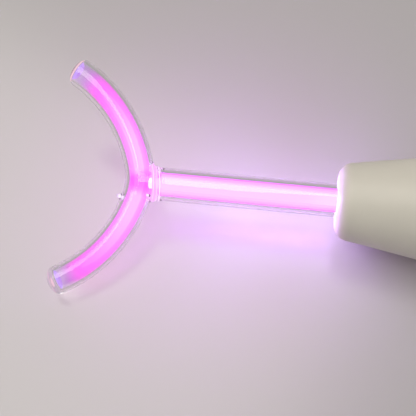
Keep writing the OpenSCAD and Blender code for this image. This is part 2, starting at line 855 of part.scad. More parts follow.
module adjusting_spindle() {
    color([0.8, 0.65, 0.3]) union() {
        knob_bar(spindle_s0, round_s1, spindle_d / 2);
        on_spindle(round_s1 - sink) cylinder(h = spindle_s1 - round_s1 + sink, r = hex_r, $fn = 6);
    }
}

module spindle_nut() {
    color([0.8, 0.65, 0.3]) difference() {
        union() {
            knob_bar(nut_s0, rear_s0, spindle_nut_d / 2);
            knob_bar(rear_s0 - sink, rear_s1 + over, nut_body_r);
        }
        knob_bar(nut_s0 - over, rear_s1 + 2 * over, spindle_d / 2 + fit);
    }
}

module control_knob() {
    skirt_r = skirt_d / 2;
    grip_r = grip_d / 2;
    edge = knob_edge;
    hub_r = insert_d / 2 + seat;
    profile = [[insert_neck_d / 2 + clear, insert_step_s], [insert_neck_d / 2 + clear, knob_s0],
        [skirt_r - edge, knob_s0], [skirt_r, knob_s0 + edge], [skirt_r, skirt_s1 - 2 * edge],
        [grip_r + edge, skirt_s1], [grip_r, skirt_s1 + edge], [grip_r - edge, knob_s1 - 2 * edge],
        [grip_r - 3 * edge, knob_s1], [0, knob_s1], [0, insert_s1 + seat], [hub_r, insert_s1 + seat],
        [hub_r, insert_step_s]];
    color([0.12, 0.11, 0.11]) difference() {
        on_spindle() rotate_extrude() polygon(profile);
        on_spindle(skirt_s1 + 2 * edge) for (i = [0:flute_count - 1]) rotate(i * 360 / flute_count)
            translate([grip_r - edge / 2, 0, 0]) cylinder(h = grip_len + over, r = flute_d / 2);
    }
}

module knob_insert() {
    neck = insert_neck_d / 2;
    color([0.8, 0.65, 0.3]) difference() {
        union() {
            knob_bar(insert_s0, insert_step_s + sink, neck);
            knob_bar(insert_step_s, insert_s1, insert_d / 2);
        }
        on_spindle(insert_s0 - over) cylinder(h = insert_s1 - insert_s0, r = hex_r + hex_fit, $fn = 6);
        knob_tube(clip_s0 - seat, clip_s0 + clip_t + seat, clip_r0 - seat, neck + over);
    }
}

module knob_clip() {
    color([0.4, 0.4, 0.42]) knob_tube(clip_s0, clip_s0 + clip_t, clip_r0, clip_r1);
}

// the two places of the terminal screws
module at_terminals(z0, z1, r) {
    for (side = [-1, 1])
        translate([x_shift + rear_s1 + terminal_len / 2, side * terminal_w / 4, axis_h + z0])
            cylinder(h = z1 - z0, r = r);
}

module terminal_block() {
    color([0.2, 0.13, 0.1]) difference() {
        block(rear_s1, rear_s1 + terminal_len, terminal_w, terminal_top - terminal_h, terminal_top);
        at_terminals(terminal_top - terminal_h / 2, terminal_top + over, terminal_screw_r + seat);
    }
}

module terminal_screws() {
    color([0.8, 0.65, 0.3])
        at_terminals(terminal_top - terminal_h / 2, terminal_top - seat, terminal_screw_r);
}

module cord_gland() {
    profile = [[gland_r0, wall_s - gland_lip_t], [gland_lip_r, wall_s - gland_lip_t],
        [gland_lip_r, wall_s], [gland_r1, wall_s], [gland_r1, rear_face_s], [gland_lip_r, rear_face_s],
        [gland_r1, rear_face_s + gland_lip_t], [gland_r0, rear_face_s + gland_lip_t]];
    color([0.1, 0.1, 0.1]) on_axis() translate([gland_drop, 0, 0]) rotate_extrude() polygon(profile);
}

glass_electrode();
electrode_cap();
socket_sleeve();
socket_bush();
contact_spring();
output_stud();
nose_cone();
barrel();
rear_cap();
tie_rods();
insert_nuts();
front_bulkhead();
middle_bulkhead();
rear_bulkhead();
coil_former();
secondary_winding();
coil_sleeve();
primary_winding();
condenser();
condenser_pad();
magnet_yoke();
magnet_core();
magnet_bobbin();
magnet_winding();
reed_post();
reed_clamp();
reed_screws();
reed_spring();
armature_plate();
moving_contact();
fixed_contact();
adjusting_spindle();
spindle_nut();
control_knob();
knob_insert();
knob_clip();
terminal_block();
terminal_screws();
cord_gland();
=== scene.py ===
import json
import math

import bpy
import numpy as np
from mathutils import Matrix, Vector


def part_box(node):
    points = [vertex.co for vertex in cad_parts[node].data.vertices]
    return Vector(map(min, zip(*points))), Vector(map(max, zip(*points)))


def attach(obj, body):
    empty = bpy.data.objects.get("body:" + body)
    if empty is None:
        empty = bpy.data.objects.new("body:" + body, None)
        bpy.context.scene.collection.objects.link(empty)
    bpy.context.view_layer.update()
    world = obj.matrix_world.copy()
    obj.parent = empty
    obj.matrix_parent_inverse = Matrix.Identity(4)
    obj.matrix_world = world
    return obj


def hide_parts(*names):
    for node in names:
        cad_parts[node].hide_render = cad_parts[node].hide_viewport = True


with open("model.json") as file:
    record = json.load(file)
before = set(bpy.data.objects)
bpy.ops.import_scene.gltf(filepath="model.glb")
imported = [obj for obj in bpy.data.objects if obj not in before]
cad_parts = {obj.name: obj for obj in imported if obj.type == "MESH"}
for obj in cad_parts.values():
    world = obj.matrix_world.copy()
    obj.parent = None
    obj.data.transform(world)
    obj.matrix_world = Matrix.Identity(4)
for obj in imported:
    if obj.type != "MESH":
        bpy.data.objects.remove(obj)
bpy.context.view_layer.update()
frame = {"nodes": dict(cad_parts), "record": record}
print("frame loaded:", len(frame["nodes"]), "nodes")

mm = 0.001
noseLow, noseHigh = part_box("nose_cone")
knobLow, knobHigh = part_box("control_knob")
noseX = noseLow.x  # s = 0
axisZ = (noseLow.z + noseHigh.z) / 2
knobRise = ((knobLow.z + knobHigh.z) / 2 - axisZ) / mm  # knob's axis above the machine's
rodPitch = 14.2  # rods from the axis
rodTurns = np.radians([45, 135, 225, 315])


# Mesh helpers

def toRow(points):  # mm on the machine's axis to metres in the row frame
    return np.asarray(points, float) * mm + (noseX, 0.0, axisZ)


def gridFaces(rows, cols, closeRows, closeCols):  # quads of a grid, wrapped where it is closed
    r, c = np.meshgrid(np.arange(rows - (not closeRows)), np.arange(cols - (not closeCols)), indexing="ij")
    nextR, nextC = (r + 1) % rows, (c + 1) % cols
    quads = np.stack([r * cols + c, nextR * cols + c, nextR * cols + nextC, r * cols + nextC], -1)
    return quads.reshape(-1, 4)


def triangles(faces):  # every face list as triangles
    return np.concatenate([f[:, [0, k, k + 1]] for f in faces for k in range(1, f.shape[1] - 1)])


def outward(points, faces):  # turns a closed skin so that its volume is positive
    corner = points[triangles(faces)]
    volume = np.einsum("ij,ij->", corner[:, 0], np.cross(corner[:, 1], corner[:, 2]))
    return points, (faces if volume > 0 else [f[:, ::-1] for f in faces])


def joined(*skins):  # several skins as one
    starts = np.cumsum([0] + [len(points) for points, faces in skins])
    faces = [f + start for (points, part), start in zip(skins, starts) for f in part]
    return np.concatenate([points for points, part in skins]), faces


def softOutline(corners, closed=True, steps=6, support=0.25, share=0.49):
    # corners are (s, r, rounding): each rounding is a true arc between its two tangent points,
    # and a straight stretch gets a support point near each end, so that flats shade flat;
    # a rounding takes up to the given share of each stretch beside it
    places = np.array([c[:2] for c in corners], float)
    bends = []
    for i, (s, r, rounding) in enumerate(corners):
        ends = not closed and i in (0, len(corners) - 1)
        back = places[i - 1] - places[i]
        ahead = places[(i + 1) % len(corners)] - places[i]
        backLength, aheadLength = np.hypot(*back), np.hypot(*ahead)
        if ends or rounding <= 0:
            bends.append(places[i:i + 1])
            continue
        half = math.acos(np.clip(back @ ahead / backLength / aheadLength, -1, 1)) / 2
        reach = min(rounding / math.tan(half), share * backLength, share * aheadLength)
        first, last = places[i] + back / backLength * reach, places[i] + ahead / aheadLength * reach
        t = np.linspace(0, 1, steps + 1)[:, None]
        weight = math.sin(half)
        lower = (1 - t) ** 2 + 2 * weight * t * (1 - t) + t ** 2
        bends.append(((1 - t) ** 2 * first + 2 * weight * t * (1 - t) * places[i] + t ** 2 * last) / lower)
    out = []
    for i, bend in enumerate(bends):
        out.append(bend)
        if not closed and i == len(bends) - 1:
            break
        start, stop = bend[-1], bends[(i + 1) % len(bends)][0]
        length = np.hypot(*(stop - start))
        if length > 4 * support:
            step = (stop - start) * support / length
            out.append(np.array([start + step, stop - step]))
    return np.concatenate(out)


def revolve(outline, count=128, rise=0.0, shift=0.0, shape=None):
    # an outline (s, r) carried round the axis; first and last rows on the axis become poles,
    # and shape may change the radius by s and turn
    outline = np.asarray(outline, float)
    poles = outline[0, 1] < 1e-6
    rows = outline[1:-1] if poles else outline
    turn = 2 * np.pi * np.arange(count)[None, :] / count
    s, r = rows[:, :1] + 0 * turn, rows[:, 1:] + 0 * turn
    if shape:
        r = shape(s, turn, r)
    points = np.stack([s, r * np.sin(turn) + shift, r * np.cos(turn) + rise], -1).reshape(-1, 3)
    faces = [gridFaces(len(rows), count, not poles, True)]
    if poles:
        around = np.arange(count)
        after = (around + 1) % count
        lastRow = (len(rows) - 1) * count
        first = len(points)
        points = np.vstack([points, [outline[0, 0], shift, rise], [outline[-1, 0], shift, rise]])
        faces.append(np.stack([np.full(count, first), around, after], -1))
        faces.append(np.stack([np.full(count, first + 1), lastRow + after, lastRow + around], -1))
    return outward(points, faces)


def tubeOn(path, side, up, radius, count=24):
    # a round section of changing radius carried along a path; both ends close in a pole
    turn = 2 * np.pi * np.arange(count)[None, :, None] / count
    ring = path[:, None] + radius[:, None, None] * (np.cos(turn) * side[:, None] + np.sin(turn) * up[:, None])
    points = np.vstack([ring.reshape(-1, 3), path[:1], path[-1:]])
    around = np.arange(count)
    after = (around + 1) % count
    first, lastRow = len(path) * count, (len(path) - 1) * count
    faces = [gridFaces(len(path), count, False, True),
             np.stack([np.full(count, first), around, after], -1),
             np.stack([np.full(count, first + 1), lastRow + after, lastRow + around], -1)]
    return outward(points, faces)


def tubesAt(s0, s1, inner, outer, count=32):  # one short tube on each rod
    ring = [(s0, inner, 0.1), (s0, outer, 0.3), (s1, outer, 0.3), (s1, inner, 0.1)]
    outline = softOutline(ring, steps=2)
    return joined(*[revolve(outline, count, rodPitch * np.cos(a), rodPitch * np.sin(a)) for a in rodTurns])


def newObject(name, skin, finish=None):
    points, faces = skin
    mesh = bpy.data.meshes.new(name)
    mesh.from_pydata(toRow(points).tolist(), [], [f for part in faces for f in part.tolist()])
    mesh.polygons.foreach_set("use_smooth", np.ones(len(mesh.polygons), bool))
    mesh.update()
    if finish:
        mesh.materials.append(finish)
    piece = bpy.data.objects.new(name, mesh)
    bpy.context.scene.collection.objects.link(piece)
    return piece


def addPiece(name, skin, slot, body, *nodes, finish=None):  # a finished piece on its body
    piece = newObject(name, skin, finish or finishes[slot])
    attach(piece, body)
    if nodes:
        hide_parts(*nodes)
    return piece


def cutAway(piece, skins):  # takes closed skins out of a piece and keeps the result as its mesh
    cutters = [newObject(f"cutter{i}", skin) for i, skin in enumerate(skins)]
    for cutter in cutters:
        cut = piece.modifiers.new("cut", "BOOLEAN")
        cut.operation = "DIFFERENCE"
        cut.solver = "EXACT"
        cut.object = cutter
    bpy.context.view_layer.update()
    mesh = bpy.data.meshes.new_from_object(piece.evaluated_get(bpy.context.evaluated_depsgraph_get()))
    piece.modifiers.clear()
    piece.data = mesh
    for cutter in cutters:
        bpy.data.objects.remove(cutter)
    mesh.set_sharp_from_angle(angle=math.radians(32))


# Finishes: each has a cloudy tone, a roughness that wanders and a fine grain

finishLooks = {
    "ivory_plastic": {"color": (0.70, 0.655, 0.555), "rough": 0.42, "tone": 0.035, "toneScale": 55,
                      "grain": 0.10, "grainScale": 2600, "Specular IOR Level": 0.45},
    "nickel": {"color": (0.74, 0.71, 0.66), "rough": 0.2, "metal": 1.0, "tone": 0.05, "toneScale": 180,
               "grain": 0.03, "grainScale": 3500},
    "brass": {"color": (0.71, 0.50, 0.21), "rough": 0.3, "metal": 1.0, "tone": 0.12, "toneScale": 220,
              "grain": 0.05, "grainScale": 3000},
    "insulator": {"color": (0.62, 0.55, 0.42), "rough": 0.55, "tone": 0.06, "toneScale": 150,
                  "grain": 0.12, "grainScale": 1800},
    "spring_steel": {"color": (0.56, 0.56, 0.58), "rough": 0.28, "metal": 1.0, "tone": 0.07, "toneScale": 300,
                     "grain": 0.04, "grainScale": 4000},
    "fibre_board": {"color": (0.20, 0.075, 0.045), "rough": 0.6, "tone": 0.16, "toneScale": 350,
                    "grain": 0.25, "grainScale": 1500},
    "paper_tube": {"color": (0.40, 0.28, 0.13), "rough": 0.5, "tone": 0.14, "toneScale": 260,
                   "grain": 0.2, "grainScale": 1200},
    "copper_wire": {"color": (0.45, 0.15, 0.045), "rough": 0.3, "metal": 0.6, "tone": 0.12, "toneScale": 400,
                    "grain": 0.05, "grainScale": 2500, "Coat Weight": 0.4},
    "waxed_card": {"color": (0.52, 0.40, 0.20), "rough": 0.45, "tone": 0.14, "toneScale": 160,
                   "grain": 0.18, "grainScale": 900, "Coat Weight": 0.2},
    "felt": {"color": (0.20, 0.20, 0.18), "rough": 0.95, "tone": 0.25, "toneScale": 900,
             "grain": 0.6, "grainScale": 2200, "Sheen Weight": 0.4},
    "soft_iron": {"color": (0.34, 0.34, 0.35), "rough": 0.42, "metal": 1.0, "tone": 0.14, "toneScale": 200,
                  "grain": 0.1, "grainScale": 2200},
    "brown_phenolic": {"color": (0.095, 0.035, 0.02), "rough": 0.3, "tone": 0.2, "toneScale": 180,
                       "grain": 0.06, "grainScale": 1500},
    "contact_metal": {"color": (0.62, 0.62, 0.64), "rough": 0.25, "metal": 1.0, "tone": 0.08,
                      "toneScale": 700, "grain": 0.06, "grainScale": 5000},
    "black_phenolic": {"color": (0.016, 0.0145, 0.014), "rough": 0.26, "tone": 0.2, "toneScale": 140,
                       "grain": 0.05, "grainScale": 2200, "Coat Weight": 0.25},
    "black_rubber": {"color": (0.022, 0.022, 0.023), "rough": 0.7, "tone": 0.15, "toneScale": 300,
                     "grain": 0.3, "grainScale": 1800},
    "dial_paint": {"color": (0.78, 0.76, 0.70), "rough": 0.5, "tone": 0.05, "toneScale": 400,
                   "grain": 0.1, "grainScale": 3000},
}


def noiseOn(tree, coords, scale, detail):
    noise = tree.nodes.new("ShaderNodeTexNoise")
    noise.inputs["Scale"].default_value = scale
    noise.inputs["Detail"].default_value = detail
    tree.links.new(coords.outputs["Object"], noise.inputs["Vector"])
    return noise.outputs["Fac"]


def makeFinish(name, look):
    look = dict(look)
    color = np.array(look.pop("color"))
    rough, metal = look.pop("rough"), look.pop("metal", 0.0)
    tone, toneScale = look.pop("tone"), look.pop("toneScale")
    grain, grainScale = look.pop("grain"), look.pop("grainScale")
    material = bpy.data.materials.new(name)
    material.use_nodes = True
    tree = material.node_tree
    shader = tree.nodes["Principled BSDF"]
    coords = tree.nodes.new("ShaderNodeTexCoord")
    clouds = noiseOn(tree, coords, toneScale, 5)
    mix = tree.nodes.new("ShaderNodeMix")
    mix.data_type = "RGBA"
    mix.inputs["A"].default_value = (*(color * (1 - 2 * tone)), 1)
    mix.inputs["B"].default_value = (*np.minimum(color * (1 + 2 * tone), 1), 1)
    tree.links.new(clouds, mix.inputs["Factor"])
    tree.links.new(mix.outputs["Result"], shader.inputs["Base Color"])
    spread = tree.nodes.new("ShaderNodeMapRange")
    spread.inputs["From Min"].default_value = 0.3
    spread.inputs["From Max"].default_value = 0.7
    spread.inputs["To Min"].default_value = rough * 0.85
    spread.inputs["To Max"].default_value = min(rough * 1.15, 1)
    tree.links.new(noiseOn(tree, coords, toneScale * 2.3, 3), spread.inputs["Value"])
    tree.links.new(spread.outputs["Result"], shader.inputs["Roughness"])
    bump = tree.nodes.new("ShaderNodeBump")
    bump.inputs["Strength"].default_value = grain
    bump.inputs["Distance"].default_value = 0.0001
    tree.links.new(noiseOn(tree, coords, grainScale, 3), bump.inputs["Height"])
    tree.links.new(bump.outputs["Normal"], shader.inputs["Normal"])
    shader.inputs["Metallic"].default_value = metal
    for socket, value in look.items():
        shader.inputs[socket].default_value = value
    return material


finishes = {name: makeFinish(name, look) for name, look in finishLooks.items()}


def makeGlass():  # clear lamp glass; shadow rays pass, so that the discharge lights what is round it
    material = bpy.data.materials.new("glass")
    material.use_nodes = True
    tree = material.node_tree
    shader = tree.nodes["Principled BSDF"]
    shader.inputs["Base Color"].default_value = (0.985, 0.975, 0.995, 1)
    shader.inputs["Roughness"].default_value = 0.0
    shader.inputs["IOR"].default_value = 1.47
    shader.inputs["Transmission Weight"].default_value = 1.0
    coords = tree.nodes.new("ShaderNodeTexCoord")
    bump = tree.nodes.new("ShaderNodeBump")
    bump.inputs["Strength"].default_value = 0.02
    bump.inputs["Distance"].default_value = 0.0001
    tree.links.new(noiseOn(tree, coords, 90, 1), bump.inputs["Height"])
    tree.links.new(bump.outputs["Normal"], shader.inputs["Normal"])
    clear = tree.nodes.new("ShaderNodeBsdfTransparent")
    path = tree.nodes.new("ShaderNodeLightPath")
    mix = tree.nodes.new("ShaderNodeMixShader")
    tree.links.new(path.outputs["Is Shadow Ray"], mix.inputs["Fac"])
    tree.links.new(shader.outputs["BSDF"], mix.inputs[1])
    tree.links.new(clear.outputs["BSDF"], mix.inputs[2])
    tree.links.new(mix.outputs["Shader"], tree.nodes["Material Output"].inputs["Surface"])
    return material


finishes["glass"] = makeGlass()
print("finishes made:", len(finishes))


# Glass electrode: one skin outside and one round the gas, both drawn where a distance field is zero

glassShape = {
    "stemR": 5.5, "stemBore": 4.0, "reach": 65.4,  # stem, its bore, and the fork's place before the nose
    "armR": 4.9, "armBore": 3.55,  # fork tube and its bore
    "bendR": 20.0, "bendAngle": 15.3,  # tight bend at the weld
    "sweepR": 48.6, "sweepAngle": 46.0,  # each arm
    "roll": 22.0,  # turn about the machine's axis
    "more": 1.88,  # how much longer the arm on the pip's side is
    "crownR": 7.5, "plug": 1.8, "longPlug": 3.3,  # domed tips, and the solid glass in each
    "beads": ((-60.8, 0.8, 0.65), (-59.3, 0.35, 0.45), (-58.2, 0.12, 0.4)),  # weld: s, height, width
    "weldTilt": 1.6, "weldTurn": 42.0,  # how far the weld leans back over the stem, and to which side
    "boreStart": -59.9,  # end of the stem's bore
    "passageR": 3.9, "passageMiddle": -61.5, "passageHalf": 3.4,  # opening through the weld
    "neckR": 5.05, "neckStart": 15.0, "neckEnd": 36.7, "basePlug": 4.0,  # end inside the metal cap
    "pipAngle": 21.0, "pipR": 1.1, "pipLength": 1.1,
    "gridStep": 0.43,
    "outsideBox": ((-95.5, -39.5, -19.5), (38.5, 38.5, 19.5)),  # where each skin is looked for
    "insideBox": ((-94.5, -38.5, -18.5), (34.5, 37.5, 18.5)),
}
g = glassShape
bendAngle, tipAngle = math.radians(g["bendAngle"]), math.radians(g["bendAngle"] + g["sweepAngle"])
bendLength = g["bendR"] * bendAngle
sweepCentre = ((g["bendR"] - g["sweepR"]) * math.sin(bendAngle),
               g["bendR"] - (g["bendR"] - g["sweepR"]) * math.cos(bendAngle))
crownDrop = g["crownR"] - math.sqrt(g["crownR"] ** 2 - g["armR"] ** 2)
armLength = bendLength + g["sweepR"] * (tipAngle - bendAngle)  # weld to the foot of the dome, along the tube
boreEnd = armLength + crownDrop - g["plug"]
longBoreEnd = armLength + g["more"] + crownDrop - g["longPlug"]
roll = math.radians(g["roll"])


def forkToAxis(a, f, w):  # fork plane (across, forward, off the plane) to s, y, z
    return np.stack([-g["reach"] - f, a * math.cos(roll) - w * math.sin(roll),
                     a * math.sin(roll) + w * math.cos(roll)], -1)


def softMin(p, q, blend):  # the smaller of two distances, with a fillet
    h = np.clip(0.5 + 0.5 * (q - p) / blend, 0, 1)
    return q + (p - q) * h - blend * h * (1 - h)


def softMax(p, q, blend):
    return -softMin(-p, -q, blend)


def smooth(low, high, value):
    t = np.clip((value - low) / (high - low), 0, 1)
    return t * t * (3 - 2 * t)


def inFork(points):
    # s, y, z to the fork plane, folded over its middle, with the distance off the centre line
    s, y, z = points.T
    a = y * math.cos(roll) + z * math.sin(roll)
    w = z * math.cos(roll) - y * math.sin(roll)
    f = -g["reach"] - s
    side = np.abs(a)
    bend = np.arctan2(side, g["bendR"] - f) <= bendAngle
    off = np.where(bend, np.hypot(side, g["bendR"] - f) - g["bendR"],
                   np.hypot(side - sweepCentre[0], f - sweepCentre[1]) - g["sweepR"])
    angle = np.arctan2(side - sweepCentre[0], sweepCentre[1] - f)
    along = np.where(bend, 0.0, bendLength + g["sweepR"] * (angle - bendAngle))  # length from the weld
    return a, side, f, w, off, along


def weldLean(turn):
    return g["weldTilt"] * np.cos(turn + math.radians(g["weldTurn"]))


def glassOutside(points):
    s, y, z = points.T
    a, side, f, w, off, along = inFork(points)
    tube = np.hypot(off, w) - g["armR"]
    more = np.where(a < 0, g["more"], 0.0)
    tip = tipAngle + more / g["sweepR"]
    back = crownDrop - g["crownR"]  # middle of the dome's ball, measured from its foot
    ballSide = side - sweepCentre[0] - g["sweepR"] * np.sin(tip) - back * np.cos(tip)
    ballAhead = f - sweepCentre[1] + g["sweepR"] * np.cos(tip) - back * np.sin(tip)
    ball = np.sqrt(ballSide ** 2 + ballAhead ** 2 + w ** 2) - g["crownR"]
    tube = tube + smooth(-5, -3, along - armLength - more) * (softMax(tube, ball, 1.4) - tube)
    turn = np.arctan2(y, z)
    radius = g["stemR"] - (g["stemR"] - g["neckR"]) * smooth(g["neckStart"] - 0.4, g["neckStart"] + 0.4, s)
    for number, (place, height, width) in enumerate(g["beads"]):
        sway = weldLean(turn) + 0.15 * np.cos(2 * turn + number)
        uneven = height * (1 + 0.25 * np.cos(turn - 1.7 * number))
        radius = radius + uneven * np.exp(-((s - place - sway) / width) ** 2)
    stem = np.maximum(np.maximum(np.hypot(y, z) - radius, -g["reach"] - s), s - g["neckEnd"])
    pipAngle = math.radians(g["pipAngle"])
    pipStart = g["bendR"] - g["armR"] + 0.3
    reachIn = np.clip(pipStart - (-a * math.sin(pipAngle) + (g["bendR"] - f) * math.cos(pipAngle)),
                      0, g["pipLength"] + 0.3)
    centre = pipStart - reachIn
    pip = np.sqrt((a + centre * math.sin(pipAngle)) ** 2
                  + (f - g["bendR"] + centre * math.cos(pipAngle)) ** 2 + w ** 2)
    pip = pip - (g["pipR"] - 0.45 * reachIn / g["pipLength"])
    return softMin(softMin(tube, stem, 1.2), pip, 0.7)


def glassInside(points):
    s, y, z = points.T
    a, side, f, w, off, along = inFork(points)
    arms = softMax(np.hypot(off, w) - g["armBore"], along - np.where(a < 0, longBoreEnd, boreEnd), 0.6)
    r = np.hypot(y, z)
    stem = softMax(r - g["stemBore"], g["boreStart"] - s, 2.4)
    stem = softMax(stem, s - g["neckEnd"] + g["basePlug"], 2.0)
    passage = np.maximum(r - g["passageR"], np.abs(s - g["passageMiddle"]) - g["passageHalf"])
    return softMin(softMin(arms, stem, 0.6), passage, 0.9)


def skinOf(field, low, high, step):
    # one point in every grid cell that the field changes sign in, drawn onto the zero surface and evened out;
    # a quad round every grid edge that crosses it
    low = np.array(low, float)
    counts = np.ceil((np.array(high) - low) / step).astype(int) + 1
    marks = [low[k] + step * np.arange(counts[k]) for k in range(3)]
    spots = np.stack(np.meshgrid(*marks, indexing="ij"), -1)
    inside = field(spots.reshape(-1, 3)).reshape(counts) < 0
    filled = sum(inside[i:counts[0] - 1 + i, j:counts[1] - 1 + j, k:counts[2] - 1 + k].astype(int)
                 for i in (0, 1) for j in (0, 1) for k in (0, 1))
    mixed = (filled > 0) & (filled < 8)
    index = np.full(mixed.shape, -1)
    index[mixed] = np.arange(mixed.sum())
    points = low + step * (np.argwhere(mixed) + 0.5)
    quads = []
    for axis in range(3):
        one, two = np.eye(3, dtype=int)[(axis + 1) % 3], np.eye(3, dtype=int)[(axis + 2) % 3]
        lower = np.take(inside, np.arange(counts[axis] - 1), axis)
        upper = np.take(inside, np.arange(1, counts[axis]), axis)
        edge = np.argwhere(lower != upper)
        leaving = lower[tuple(edge.T)]
        cells = np.stack([index[tuple((edge - d).T)] for d in (one + two, two, 0 * one, one)], -1)
        quads.append(np.where(leaving[:, None], cells, cells[:, ::-1]))
    quads = np.concatenate(quads)
    ends = np.concatenate([quads[:, [k, (k + 1) % 4]] for k in range(4)])
    ends = np.concatenate([ends, ends[:, ::-1]])
    share = np.bincount(ends[:, 0], minlength=len(points))[:, None]

    def slope(at):
        shift = 0.01 * np.eye(3)
        return np.stack([field(at + d) - field(at - d) for d in shift], -1) / 0.02

    def drawn(at):
        for turn in range(4):
            push = slope(at)
            at = at - (field(at) / np.maximum((push ** 2).sum(-1), 1e-6))[:, None] * push
        return at

    points = drawn(points)
    for turn in range(4):
        total = [np.bincount(ends[:, 0], points[ends[:, 1], k], len(points)) for k in range(3)]
        points = drawn(points + 0.7 * (np.stack(total, -1) / share - points))
    normals = slope(points)
    return points, [quads], normals / np.linalg.norm(normals, axis=-1, keepdims=True)


def makeElectrode():
    outer, outerFaces, outerNormals = skinOf(glassOutside, *g["outsideBox"], g["gridStep"])
    inner, innerFaces, innerNormals = skinOf(glassInside, *g["insideBox"], g["gridStep"])
    skin = joined((outer, outerFaces), (inner, [f[:, ::-1] for f in innerFaces]))
    piece = addPiece("electrode_glass", skin, "glass", "electrode", "glass_electrode")
    normals = np.concatenate([outerNormals, -innerNormals])
    piece.data.normals_split_custom_set_from_vertices(normals.tolist())
    return piece


electrodeGlass = makeElectrode()
print("glass electrode:", len(electrodeGlass.data.polygons), "faces")


# Gas discharge: thin glowing layers in the bore round a tapering core; the outer layer also carries painted
# glints in the glass

dischargeLook = {
    "shares": (0.98, 0.85, 0.68), "coreShare": 0.46,  # radii of layers and core, as shares of the bore
    "alpha": 0.45, "hazeAlpha": 0.07, "strength": 3.0, "sides": 24,
    # colours of the layers from the outside in, and of the core: stem, arms near the weld, arms at their ends
    "stem": ((1.5, 0.22, 1.9), (2.2, 0.86, 3.0), (3.0, 1.2, 4.5), (5.0, 1.2, 7.5)),
    "armNear": ((1.3, 0.20, 1.4), (1.6, 0.45, 2.0), (2.0, 0.70, 2.8), (3.2, 1.6, 4.5)),
    "armFar": ((1.15, 0.10, 0.98), (1.1, 0.20, 0.98), (1.1, 0.28, 1.0), (1.2, 0.50, 1.1)),
    "nearTo": 8.0, "farFrom": 40.0,  # lengths from the weld between which the arms change colour
    "weldDim": (0.15, 0.6, 0.2), "weldDimFrom": 1.0, "weldDimTo": 4.5,  # how much it dims at the weld
    "noseBoost": 0.4, "noseFrom": -13.0, "noseTo": -1.0,  # the core brightens towards the nose
    "heart": (0.5, 0.333, 1.0), "heartStrength": 60.0,  # discs hidden in the core
    "heartR": 1.4, "heartHalf": 0.06, "heartPlaces": (-9.0, -12.0, -15.0, -19.0, -24.0),
    "haze": (0.62, 0.22, 0.95),  # pink gives way to this haze before each end
    "fade": (0.5, 11.0), "longFade": (0.5, 9.0), "fadePower": 1.5,
    "coreEnd": 9.0, "coreTaper": 14.0,  # the core tapers out this far before the bore's end
    "passageStart": -62.4,
    "paintedRimGlint": (0.95, 0.62, 0.72), "paintedRimGlintAlpha": 0.6,  # painted glint: a glowing ring for light caught round each dome
    "rimRound": (3.9, 0.28), "longRimRound": (4.2, 0.09), "rimAhead": 0.1,  # its radius and thickness
    "disc": (0.62, 0.36, 1.1), "discAlpha": 0.5,  # violet sheet on each bore's flat end
    "discThick": 0.45, "discGap": 0.12, "discShare": 0.96,
    "pip": (1.2, 1.0, 1.4), "pipR": 0.45, "pipGlintAlpha": 0.8,  # painted glint for light caught in the pip
    "weldGlintSpot": (-61.9, -4.8, 1.4, 0.5), "weldGlintAlpha": 0.6,  # painted glint beside the weld, in the same colour: s, y, z, radius
    # painted glints for light caught in the weld's beads: s, radius, thickness, colour, alpha
    "weldGlintRings": ((-61.0, 5.0, 0.9, (1.2, 0.5, 1.3), 0.6), (-61.3, 5.9, 0.10, (1.3, 1.0, 1.4), 0.7),
                  (-60.3, 5.85, 0.08, (1.3, 1.0, 1.4), 0.6), (-59.3, 5.5, 0.09, (1.3, 1.0, 1.4), 0.7)),
}


def makeDark(name, strength):  # a dull dark surface with light of its own
    material = bpy.data.materials.new(name)
    material.use_nodes = True
    shader = material.node_tree.nodes["Principled BSDF"]
    shader.inputs["Base Color"].default_value = (0.02, 0.01, 0.02, 1)
    shader.inputs["Roughness"].default_value = 1.0
    shader.inputs["Specular IOR Level"].default_value = 0.0
    shader.inputs["Emission Strength"].default_value = strength
    return material, shader


def makeGlow(name, opaque):  # its colour, and how solid it is, go from point to point
    material, shader = makeDark(name, dischargeLook["strength"])
    tree = material.node_tree
    light = tree.nodes.new("ShaderNodeAttribute")
    light.attribute_name = "glow"
    tree.links.new(light.outputs["Color"], shader.inputs["Emission Color"])
    if not opaque:
        tree.links.new(light.outputs["Alpha"], shader.inputs["Alpha"])
    return material


def forkLine(t):  # centre line of the fork by length from the weld, with its sideways and upward directions
    turn = np.where(np.abs(t) < bendLength, np.abs(t) / g["bendR"],
                    bendAngle + (np.abs(t) - bendLength) / g["sweepR"])
    inBend = np.abs(t) < bendLength
    a = np.where(inBend, g["bendR"] * np.sin(turn), sweepCentre[0] + g["sweepR"] * np.sin(turn))
    f = np.where(inBend, g["bendR"] * (1 - np.cos(turn)), sweepCentre[1] - g["sweepR"] * np.cos(turn))
    a, turn, zero = np.sign(t) * a, np.sign(t) * turn, 0 * t
    weld = forkToAxis(zero, zero, zero)
    return (forkToAxis(a, f, zero), forkToAxis(np.sin(turn), -np.cos(turn), zero) - weld,
            forkToAxis(zero, zero, zero + 1) - weld)


def stemLine(s):  # the same on the machine's axis
    zero = 0 * s
    one = zero + 1
    return np.stack([s, zero, zero], -1), np.stack([zero, one, zero], -1), np.stack([zero, zero, one], -1)


def bellied(count, start, stop, cap):  # lengths crowded at both ends, where the radius rounds to nothing
    ends = cap * (1 - np.cos(np.linspace(0, np.pi / 2, 10)[:-1]))
    t = np.concatenate([start + ends, np.linspace(start + cap, stop - cap, count), stop - ends[::-1]])
    off = np.clip(np.maximum(start + cap - t, t - stop + cap) / cap, 0, 1)
    return t, np.maximum(np.sqrt(1 - off ** 2), 0.02)


